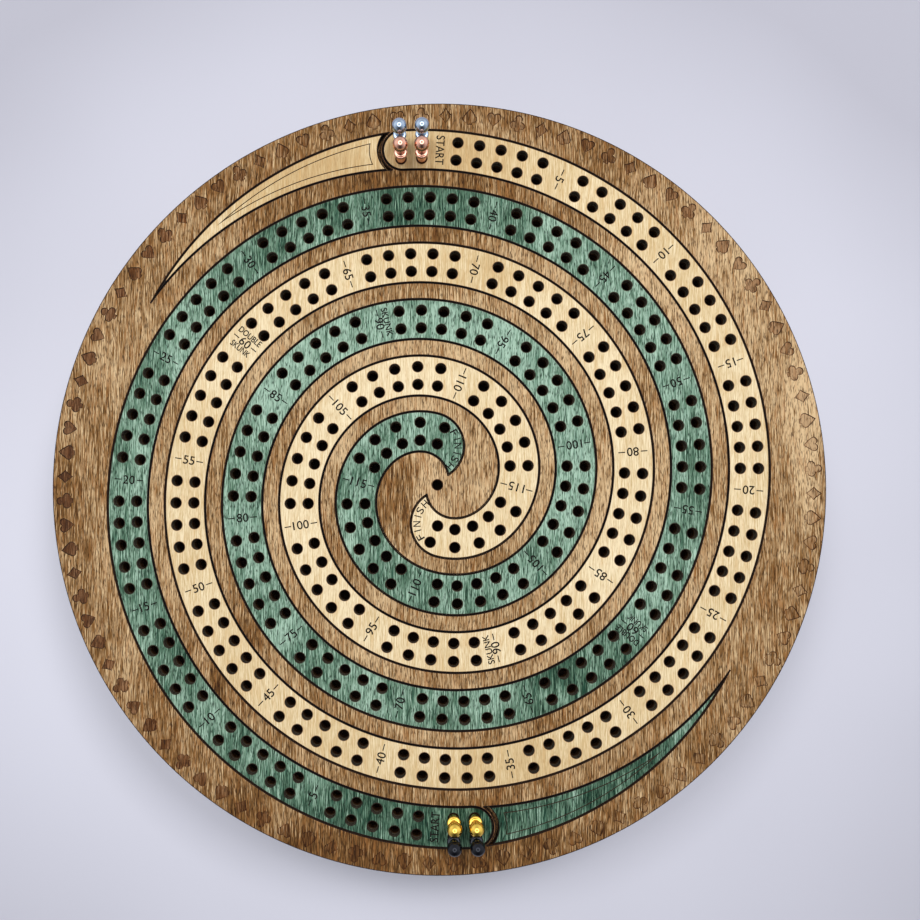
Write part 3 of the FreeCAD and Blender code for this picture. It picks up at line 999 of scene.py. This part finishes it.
def wood_look(graph, where, wood):
    """Colour, roughness and height of a veneer whose grain runs along Y."""
    seed, streak = wood["seed"], wood["streak"]
    wander = graph.noise(where, WANDER_SCALE, 1.0, "Color")
    wander = graph.vector("SUBTRACT", wander, (0.5, 0.5, 0.5))
    bent = graph.vector("ADD", where, graph.vector("MULTIPLY", wander, (WANDER, 0.0, 0.0)))
    broad = grain_noise(graph, where, BROAD, 2.0, 0.5, seed)
    bands = grain_noise(graph, bent, BANDS, 2.0, 0.6, seed + 3.1)
    fibres = grain_noise(graph, bent, FIBRES, 1.0, 0.7, seed + 7.7)
    # painted sheen and shade: lighter in an oval round the board's middle, darker further out
    painted_sheen = remap(graph, spot(graph, where, PAINTED_SHEEN_CENTRE, PAINTED_SHEEN_SIZE), *SPOT_FADE)
    tone = graph.math("MULTIPLY_ADD", painted_sheen, wood["painted_sheen"], 0.5 - PAINTED_SHEEN_SHADE * wood["painted_sheen"])
    for noise, share in ((bands, BAND_SHARE * streak), (fibres, FIBRE_SHARE * streak),
                         (broad, wood["patch"])):
        tone = graph.sway(tone, noise, share)
    for centre, size, change, *lines in wood["stains"]:
        far = graph.sway(spot(graph, bent, centre, size), bands, STAIN_RAGGED)
        within = remap(graph, far, *SPOT_FADE)
        tone = graph.math("MULTIPLY_ADD", within, change, tone)
        if lines:
            width, strength = KNOT_LINE
            ripple = graph.math("SINE", graph.math("MULTIPLY", far, lines[0]))
            ripple = graph.math("ABSOLUTE", ripple)
            ripple = graph.math("MULTIPLY", remap(graph, ripple, width, 0.0), within)
            tone = graph.math("MULTIPLY_ADD", ripple, -strength, tone)
    shade = ramp(graph, tone, zip(TONES, (wood["dark"], wood["middle"], wood["light"])))
    warm = grain_noise(graph, bent, WARMTH, 2.0, 0.6, seed + 15.3)
    shade = mix(graph, remap(graph, warm, 0.50, 0.72, 0.0, 0.4), shade, wood["warm"])
    pores = grain_noise(graph, bent, PORES, 1.0, 0.5, seed + 11.9)
    pores = remap(graph, pores, 0.52, 0.66, 0.0, wood["fleck"])
    shade = mix(graph, pores, shade, wood["dark"], "MULTIPLY")
    rough = remap(graph, fibres, 0.3, 0.7, wood["rough"] - 0.05, wood["rough"] + 0.10)
    height = graph.math("SUBTRACT", fibres, graph.math("MULTIPLY", pores, 0.8))
    return shade, rough, height


def burnt_look(graph, where, shade, seed):
    """Browns and chars a colour by the amount in the burn attribute."""
    burn = graph.node("ShaderNodeAttribute", attribute_name="burn").outputs["Fac"]
    soot = grain_noise(graph, where, SOOT, 2.0, 0.6, seed + 5.0)
    shade = mix(graph, remap(graph, burn, *SINGE_RANGE), shade, SINGED, "MULTIPLY")
    shade = mix(graph, remap(graph, burn, *BROWN_RANGE, 0.0, 0.9), shade, BURNT)
    return mix(graph, remap(graph, graph.sway(burn, soot, 0.35), *CHAR_RANGE), shade, CHAR)


def edge_look(graph, where, edge, thin_axis="Z"):
    """Colour and height of cut plywood: thin layers across one axis, charred in streaks."""
    depth = graph.math("SUBTRACT", graph.axes(where)[thin_axis], edge["bottom"] * MM)
    level = graph.math("DIVIDE", depth, edge["thickness"] * MM)
    ply = graph.math("MULTIPLY", graph.math("FRACT", level), float(edge["plies"]))
    odd = graph.math("MODULO", graph.math("FLOOR", ply), 2.0)
    inside = graph.math("FRACT", ply)
    glue = graph.math("MINIMUM", inside, graph.math("SUBTRACT", 1.0, inside))
    glue = remap(graph, glue, 0.0, GLUE_LINE, 1.0, 0.0)
    sheet = graph.math("FRACT", level)
    joint = graph.math("MINIMUM", sheet, graph.math("SUBTRACT", 1.0, sheet))
    joint = remap(graph, joint, 0.0, SHEET_JOINT, 1.0, 0.0)
    streaks = graph.noise(graph.scaled(where, *SCORCH_STREAKS), 1.0, 2.0)
    clouds = graph.noise(where, 90.0, 3.0)
    shade = mix(graph, odd, edge["veneer"], edge["cross"])
    shade = mix(graph, graph.math("MULTIPLY", glue, 0.6), shade, CHAR)
    shade = mix(graph, joint, shade, CHAR)
    amount = edge["char"]
    if amount is None:
        amount = graph.node("ShaderNodeAttribute", attribute_name="burn").outputs["Fac"]
        amount = graph.math("MULTIPLY", amount, 0.6)
    amount = graph.sway(graph.sway(amount, streaks, 1.0), clouds, 0.7)
    shade = mix(graph, remap(graph, amount, 0.0, 1.0), shade, CHAR)
    height = graph.math("ADD", graph.math("MULTIPLY", streaks, 0.6),
                        graph.math("MULTIPLY", glue, -0.5))
    return shade, height


def surface(graph, shader, shade, rough, gloss, height, strength, depth=0.0002):
    """Gives the shader its colour, roughness, gloss and bump."""
    graph.tree.links.new(shade, shader.inputs["Base Color"])
    if isinstance(rough, float):
        shader.inputs["Roughness"].default_value = rough
    else:
        graph.tree.links.new(rough, shader.inputs["Roughness"])
    shader.inputs["Specular IOR Level"].default_value = gloss
    if height is not None:
        bump = graph.get("ShaderNodeBump", {
            "Height": height, "Strength": strength, "Distance": depth})
        graph.tree.links.new(bump, shader.inputs["Normal"])


def face_material(name, wood):
    """Varnished face of a sheet, with the laser's burns."""
    material, graph, shader = new_material(name)
    where = graph.object_place()
    shade, rough, height = wood_look(graph, where, wood)
    shade = burnt_look(graph, where, shade, wood["seed"])
    surface(graph, shader, shade, rough, wood["gloss"], height, 0.2)
    return material


def edge_material(name, edge):
    """Laser-cut edge of a sheet."""
    material, graph, shader = new_material(name)
    shade, height = edge_look(graph, graph.object_place(), edge)
    surface(graph, shader, shade, CUT_ROUGHNESS, 0.15, height, 0.35)
    return material


def sheet_material(name, wood, edge, thin_axis="Z"):
    """Whole sheet: wood on its two faces and cut layers on its edges."""
    material, graph, shader = new_material(name)
    where = graph.object_place()
    along = where
    if thin_axis == "Y":
        along = graph.get("ShaderNodeMapping", {
            "Vector": where, "Rotation": (0.0, 0.0, 0.5 * pi)})
    shade, rough, height = wood_look(graph, along, wood)
    cut_shade, cut_height = edge_look(graph, where, edge, thin_axis)
    facing = graph.axes(graph.get("ShaderNodeNewGeometry", output="True Normal"))[thin_axis]
    is_face = graph.math("GREATER_THAN", graph.math("ABSOLUTE", facing), 0.7)
    shade = mix(graph, is_face, cut_shade, shade)
    height = remap(graph, is_face, 0.0, 1.0, cut_height, height)
    rough = remap(graph, is_face, 0.0, 1.0, CUT_ROUGHNESS, rough)
    surface(graph, shader, shade, rough, 0.2, height, 0.25)
    return material


def metal_material(name, tint, roughness, metallic=1.0, brushed=0.04):
    """Polished turned metal with fine rings left by the lathe."""
    material, graph, shader = new_material(name)
    where = graph.object_place()
    rings = graph.noise(graph.scaled(where, 150.0, 150.0, 9000.0), 1.0, 1.0)
    marks = graph.noise(where, 700.0, 2.0)
    darker = tuple(0.78 * value for value in tint[:3]) + (1.0,)
    shade = mix(graph, remap(graph, marks, 0.35, 0.75), tint, darker)
    rough = remap(graph, rings, 0.3, 0.7, roughness, roughness + brushed)
    shader.inputs["Metallic"].default_value = metallic
    surface(graph, shader, shade, rough, PLAIN_GLOSS, rings, 0.04, 0.0001)
    return material


def rubber_material(name):
    material, graph, shader = new_material(name)
    pits = graph.noise(graph.object_place(), 1500.0, 2.0)
    shade = ramp(graph, pits, [(0.3, colour(28, 28, 30)), (0.7, colour(46, 46, 48))])
    surface(graph, shader, shade, 0.8, PLAIN_GLOSS, pits, 0.3)
    return material


# the glow strength sets how far the painted sheen lightens a board's middle and darkens its rim
def wood(dark, middle, light, warm, streak, fleck, patch, seed, rough=0.46, gloss=0.09,
         painted_sheen=0.36, stains=()):
    """Looks of one veneer.

    Streak, fleck and patch are the strengths of its fibres, its pores and its broad
    clouds. A stain is its centre, its half sizes, its change of tone and, for a knot,
    how close its lines are.
    """
    return {"dark": dark, "middle": middle, "light": light, "warm": warm, "streak": streak,
            "fleck": fleck, "patch": patch, "seed": seed, "rough": rough, "gloss": gloss,
            "painted_sheen": painted_sheen, "stains": stains}


def layers(bottom, thickness, plies, veneer, cross, char):
    """Looks of cut edges; without a char of its own, an edge takes it from its burns."""
    return {"bottom": bottom, "thickness": thickness, "plies": plies, "veneer": veneer,
            "cross": cross, "char": char}


brown_wood = wood(
    colour(60, 33, 8), colour(134, 96, 54), colour(216, 185, 142), colour(170, 112, 60),
    streak=1.0, fleck=0.72, patch=0.7, seed=0.0, stains=(
        ((121, 24), (6, 38), 0.60, 14.0), ((-18, -4), (10, 17), -0.40),
        ((-65, -50), (10, 20), -0.30), ((-10, 96), (60, 12), -0.20),
        ((-8, -119), (75, 13), -0.20), ((-118, 3), (14, 20), -0.13),
        ((-58, -2), (26, 34), -0.13), ((0, 76), (30, 14), -0.14),
        ((14, -27), (30, 18), -0.14),
        ((-32, -28), (15, 18), -0.14), ((-56, 84), (22, 11), -0.20),
        ((84, 76), (30, 34), 0.20), ((110, 32), (14, 20), 0.12)))
pale_wood = wood(
    colour(192, 160, 113), colour(213, 187, 141), colour(243, 225, 188), colour(214, 174, 116),
    streak=0.7, fleck=0.28, patch=0.5, seed=20.0, stains=(
        ((5, 110), (22, 13), -0.36), ((30, -92), (25, 10), -0.16),
        ((-50, 106), (40, 18), -0.32), ((14, 71), (40, 9), -0.14)))
green_wood = wood(
    colour(11, 43, 29), colour(92, 123, 101), colour(168, 197, 176), colour(54, 100, 82),
    streak=1.1, fleck=0.80, patch=1.0, seed=41.0, stains=(
        ((-45, 42), (28, 26), 0.18), ((60, 2), (12, 16), 0.22),
        ((48, 88), (22, 12), 0.20), ((-12, -38), (24, 22), -0.30),
        ((47, -57), (22, 15), -0.32), ((-10, -108), (70, 14), -0.30),
        ((66, -86), (44, 24), -0.19), ((-20, 92), (60, 14), -0.24),
        ((-26, 2), (10, 10), -0.20), ((87, 0), (9, 46), -0.15),
        ((5, -74), (40, 12), -0.10)))
plain_birch = wood(
    colour(186, 148, 100), colour(218, 188, 142), colour(236, 212, 170), colour(212, 174, 120),
    streak=0.6, fleck=0.3, patch=0.4, seed=63.0, rough=0.55, gloss=0.16, painted_sheen=0.0)
# painted shade: near-black wood for the floor that shows at the bottom of the peg holes
painted_shade_wood = wood(
    colour(30, 21, 16), colour(46, 33, 25), colour(60, 44, 34), colour(50, 34, 24),
    streak=0.6, fleck=0.3, patch=0.4, seed=87.0, rough=0.7, gloss=0.1, painted_sheen=0.0)
stained = face_material("stained_ply", brown_wood)
natural = face_material("natural_ply", pale_wood)
green = face_material("green_ply", green_wood)
inlay_edge = edge_material("inlay_edge", layers(
    top_z, sheet_thin, 3, colour(118, 108, 92), colour(90, 80, 68), None))
top_edge = edge_material("top_edge", layers(
    top_z, sheet_thin, 3, colour(104, 70, 44), colour(66, 44, 30), 0.45))
silver = metal_material("silver_metal", colour(176, 192, 212), 0.05)
copper = metal_material("copper_metal", colour(238, 180, 156), 0.06)
gold = metal_material("gold_metal", colour(246, 204, 92), 0.05)
black = metal_material("black_metal", colour(24, 26, 34), 0.05, metallic=0.6)
steel = metal_material("magnet_nickel", colour(176, 178, 182), 0.25)
rubber = rubber_material("foot_rubber")


# ---- laser-cut sheets ------------------------------------------------------
hole_rows = hole_rows_tree()
suit_ring = suit_border_tree()
laser_cut = laser_cut_tree()


def cut_sheet(drawing_object, face, edge):
    """Lets the laser cut a drawing out of the visible sheet."""
    add_modifier(drawing_object, laser_cut, Top=face_z * MM, Thickness=sheet_thin * MM,
                 Engraving_Depth=engraving_depth * MM, Hole_Radius=hole_radius * MM,
                 Scorch_Width=scorch_width * MM, Face=face, Edge=edge)
    return finished(drawing_object)


def make_track(name, turned, face):
    drawing = Drawing(turned)
    drawing.add(track_line(-half_gap), CUT)
    drawing.add(track_line(-half_gap - scorch_width), SCORCH_EDGE)
    drawing.add_all(track_lettering(), ENGRAVED, letter_burn)
    track = drawing.object(name)
    guide_start, guide_end = -guide_margin, last_hole_angle + guide_margin
    add_modifier(
        track, hole_rows, Start_Radius=spiral_radius(guide_start) * MM,
        End_Radius=spiral_radius(guide_end) * MM, Turns=(guide_end - guide_start) / 360.0,
        Start_Turn=radians(90.0 - guide_start),
        First_Hole_Length=(first_length - spiral_length(guide_start)) * MM,
        Hole_Spacing=hole_spacing * MM, Lane_Spacing=lane_spacing * MM,
        Holes=2 * (holes_per_lane + waiting_holes), Waiting_Holes=waiting_holes,
        Waiting_Step=waiting_step, Group=holes_per_group,
        Board_Turn=pi if turned else 0.0, Face=face)
    return cut_sheet(track, face, inlay_edge)


def make_tail(name, turned, face):
    head = 0.5 * track_width + half_gap + start_web + tail_head_gap
    drawing = Drawing(turned)
    drawing.add(tail_line(-half_gap, head), CUT)
    drawing.add(tail_line(-half_gap - scorch_width, head + scorch_width), SCORCH_EDGE)
    for side in (0.5, -0.5):
        drawing.add(score_line(side * score_width), ENGRAVED, score_burn)
    return cut_sheet(drawing.object(name), face, inlay_edge)


def make_top():
    """Board with its pockets, its middle hole and the ring of suits."""
    drawing = Drawing()
    drawing.add(ring(case_radius), CUT)
    drawing.add(ring(case_radius - rim_scorch), SCORCH_EDGE)
    head = 0.5 * track_width + half_gap + start_web
    for turn in (1, -1):
        pockets = ((track_line(half_gap), track_line(half_gap + scorch_width)),
                   (tail_line(half_gap, head),
                    tail_line(half_gap + scorch_width, head - scorch_width)))
        for cut, fade in pockets:
            drawing.add([(turn * x, turn * y) for x, y in cut], CUT)
            drawing.add([(turn * x, turn * y) for x, y in fade], SCORCH_EDGE)
    drawing.add_hole(0.0, 0.0)
    board = drawing.object("board_face")
    shapes = {}
    for name, outline in SUITS.items():
        suit = Drawing()
        suit.add(outline(0.0), ENGRAVED, suit_line_share)
        suit.add(outline(suit_border), ENGRAVED_INNER, 0.0)
        shapes[name] = suit.object(name)
    add_modifier(board, suit_ring, Radius=suit_radius * MM, Count=suit_count,
                 First_Angle=radians(first_suit_angle), Face=stained, **shapes)
    cut_sheet(board, stained, top_edge)
    for shape in shapes.values():
        bpy.data.objects.remove(shape)
    return board


def settle(piece, body, slot, *nodes):
    """Puts a piece on its body, in place of the solids it stands for."""
    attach(piece, body)
    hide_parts(*nodes)
    return piece


settle(make_top(), "case", "stained_ply", "top_board")
settle(make_track("pale_spiral", False, natural), "case", "natural_ply", "natural_track")
settle(make_track("green_spiral", True, green), "case", "green_ply", "green_track")
settle(make_tail("pale_tail", False, natural), "case", "natural_ply", "natural_tail")
settle(make_tail("green_tail_inlay", True, green), "case", "green_ply", "green_tail")


# ---- finishes of the solids that stay --------------------------------------
def finish(node, material):
    """Gives a solid one material."""
    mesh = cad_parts[node].data
    mesh.materials.clear()
    mesh.materials.append(material)


def sheets(names, name, wood_kind, edge, thin_axis="Z"):
    """Finishes the solids that are cut from one kind of sheet."""
    material = sheet_material(name, wood_kind, edge, thin_axis)
    for node in names:
        finish(node, material)


# the two veneers of a cut edge, and how charred it is
wall = (colour(110, 76, 48), colour(72, 48, 32), 0.35)
light_cut = (colour(150, 110, 70), colour(104, 70, 44), 0.30)
tray_z = floor_z - bay_height + drawer_lift
front_layer = (bay_height - 2 * drawer_lift) / wall_layers
sheets(["base_board"], "bottom_sheet", brown_wood, layers(foot_height, sheet_thin, 3, *wall))
sheets(["wall_ring_%d" % index for index in range(1, wall_layers + 1)], "wall_sheet",
       brown_wood, layers(floor_z, sheet_thick, 5, *wall))
sheets(["peg_floor"], "floor_sheet", painted_shade_wood, layers(floor_z, sheet_thin, 3, *wall))
sheets(["hole_plate"], "plate_sheet", brown_wood, layers(plate_z, sheet_thick, 5, *wall))
sheets([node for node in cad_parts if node.startswith("drawer_front")],
       "front_sheet", brown_wood, layers(tray_z, front_layer, 5, *wall))
sheets(["drawer_bottom", "drawer_stop"], "tray_sheet", plain_birch,
       layers(tray_z, sheet_thin, 3, *light_cut))
sheets(["drawer_side_left", "drawer_side_right", "deck_divider"], "side_sheet", plain_birch,
       layers(drawer_half_width - sheet_thin, sheet_thin, 3, *light_cut), "X")
sheets(["bay_rail_left", "bay_rail_right"], "rail_sheet", plain_birch,
       layers(drawer_half_width + drawer_gap, sheet_thick, 5, *light_cut), "X")
sheets(["drawer_back", "tray_divider"], "cross_sheet", plain_birch,
       layers(drawer_back_y - sheet_thin, sheet_thin, 3, *light_cut), "Y")
sheets(["bay_back"], "back_sheet", plain_birch,
       layers(drawer_back_y + drawer_gap, sheet_thick, 5, *light_cut), "Y")
for index in range(1, foot_count + 1):
    finish("foot_%d" % index, rubber)
for node in ("case_magnet", "drawer_magnet"):
    finish(node, steel)


# ---- turned pegs -----------------------------------------------------------
def round_run(middle, radius, start, steps):
    """Part of a circle in a half outline, from an angle to the horizontal up to its top."""
    line = []
    for index in range(steps + 1):
        turn = radians(start + (90.0 - start) * index / steps)
        line.append((middle[0] + radius * cos(turn), middle[1] + radius * sin(turn)))
    return line


def peg_outline():
    """Half outline of a peg as (radius, height above the board), from its foot up."""
    foot = peg_floor_gap - sheet_thick - sheet_thin
    shaft = [(0.0, foot), (peg_tip_flat, foot), (peg_tip_radius, foot + peg_tip_chamfer),
             (peg_radius, -sheet_thin), (peg_radius, peg_shaft_top)]
    collar = round_run(collar_middle, collar_bead_radius, -70.0, 10) + [collar_top]
    ball = round_run((0.0, ball_height), ball_radius, -58.0, 20)
    return shaft + collar + list(peg_waist) + ball


def lathe(name, outline, centre, material, segments=48, crease=50.0):
    """Solid of revolution about a vertical axis; the outline starts and ends on it."""
    body = bmesh.new()
    rings = []
    for radius, height in outline:
        count = 1 if radius < 1e-4 else segments
        rings.append([body.verts.new((
            (centre[0] + radius * cos(2 * pi * i / segments)) * MM,
            (centre[1] + radius * sin(2 * pi * i / segments)) * MM,
            (centre[2] + height) * MM)) for i in range(count)])
    for low, high in zip(rings, rings[1:]):
        for i in range(segments):
            after = (i + 1) % segments
            corners = [low[i % len(low)], low[after % len(low)],
                       high[after % len(high)], high[i % len(high)]]
            body.faces.new(list(dict.fromkeys(corners)))
    bmesh.ops.recalc_face_normals(body, faces=body.faces)
    mesh = bpy.data.meshes.new(name)
    body.to_mesh(mesh)
    body.free()
    mesh.shade_smooth()
    mesh.set_sharp_from_angle(angle=radians(crease))
    mesh.materials.append(material)
    return placed(name, mesh)


metals = {"silver": silver, "copper": copper, "gold": gold, "black": black}
for metal, material in metals.items():
    for index in range(1, pegs_per_metal + 1):
        node = "%s_peg_%d" % (metal, index)
        finish(node, material)
        low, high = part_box(node)
        axis = (0.5 * (low[0] + high[0]) / MM, 0.5 * (low[1] + high[1]) / MM, face_z)
        peg = lathe("turned_%s" % node, peg_outline(), axis, material)
        settle(peg, node, "%s_peg" % metal, node)


# ---- camera, light and floor -----------------------------------------------
camera_x, camera_y = -5.137, -17.324
camera_above_board = 302.013
camera_turn = (1.7162, 0.7224, 0.1822)
camera_film = 36.0
camera_shift = 0.0543

# strengths of the room's light, from the horizon and from overhead
room_low, room_high = 0.36, 0.58
mirrored_low, mirrored_high = 0.06, 0.80
mirrored_back = 0.8
mirrored_sides = 0.9
ring_lamp_strength = 2.8
ring_lamp_outside = (0.84, 0.88)     # heights, as a share of straight up
ring_lamp_inside = (0.955, 0.975)
backdrop_strength = 0.62


def make_camera():
    data = bpy.data.cameras.new("camera")
    data.sensor_width = camera_film
    data.lens = camera_film
    data.shift_x = camera_shift
    data.shift_y = camera_shift
    data.clip_start, data.clip_end = 0.01, 20.0
    camera = placed("camera", data)
    camera.location = (camera_x * MM, camera_y * MM, (camera_above_board + face_z) * MM)
    camera.rotation_euler = [radians(turn) for turn in camera_turn]
    bpy.context.scene.camera = camera


def make_table():
    bpy.ops.mesh.primitive_plane_add(size=6.0)
    plane = bpy.context.object
    plane.name = "table"
    material, graph, shader = new_material("table_top")
    where = graph.object_place()
    # painted pool of light: the floor's colour is lighter round the board and darker further out
    painted_light_falloff = graph.sway(spot(graph, where, (-12.0, -10.0), (300.0, 258.0)),
                      graph.noise(where, 5.0, 2.0), 0.3)
    shade = mix(graph, remap(graph, painted_light_falloff, 0.40, 0.88), colour(226, 226, 238),
                colour(186, 185, 196))
    surface(graph, shader, shade, 0.9, 0.2, None, 0.0)
    plane.data.materials.append(material)
    plane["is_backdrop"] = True


def softbox(name, place, target, size, power):
    """Soft lamp that polished metal does not mirror."""
    data = bpy.data.lights.new(name, "AREA")
    data.shape = "RECTANGLE"
    data.size, data.size_y = size
    data.energy = power
    made = placed(name, data)
    made.location = place
    made.visible_glossy = False
    aim = Vector(target) - Vector(place)
    made.rotation_euler = aim.to_track_quat("-Z", "Y").to_euler()


def make_light():
    """World and lamps: what the camera sees, what metal mirrors and what lights the board."""
    world = bpy.data.worlds.new("studio")
    bpy.context.scene.world = world
    world.use_nodes = True
    graph = Graph(world.node_tree)
    backdrop = world.node_tree.nodes["Background"]
    backdrop.inputs["Color"].default_value = (0.93, 0.96, 1.0, 1.0)
    heading = graph.get("ShaderNodeTexCoord", output="Generated")
    axes = graph.axes(heading)
    rise = axes["Z"]
    path = graph.node("ShaderNodeLightPath").outputs
    plain = remap(graph, rise, 0.0, 1.0, room_low, room_high)
    mirrored = remap(graph, graph.math("MULTIPLY_ADD", axes["Y"], mirrored_back, rise),
                     0.0, 1.0, mirrored_low, mirrored_high)
    side = graph.math("MULTIPLY", axes["X"], axes["X"])
    mirrored = graph.math("MULTIPLY_ADD", side, mirrored_sides, mirrored)
    ring_lamp = graph.math("SUBTRACT", remap(graph, rise, *ring_lamp_outside),
                           remap(graph, rise, *ring_lamp_inside))
    mirrored = graph.math("MULTIPLY_ADD", ring_lamp, ring_lamp_strength, mirrored)
    seen = remap(graph, path["Is Glossy Ray"], 0.0, 1.0, plain, mirrored)
    seen = remap(graph, path["Is Camera Ray"], 0.0, 1.0, seen, backdrop_strength)
    graph.tree.links.new(seen, backdrop.inputs["Strength"])
    softbox("long softbox", (0.03, 0.13, 1.5), (0.03, 0.13, 0.0), (1.0, 0.35), 2.6)
    softbox("right softbox", (0.42, 0.49, 1.25), (0.0, 0.0, 0.0), (0.4, 0.4), 6.5)
    softbox("left softbox", (-0.37, 0.50, 1.25), (0.0, 0.0, 0.0), (0.4, 0.4), 5.1)


make_camera()
make_table()
make_light()
bpy.context.scene.view_settings.view_transform = "Standard"

low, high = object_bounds()
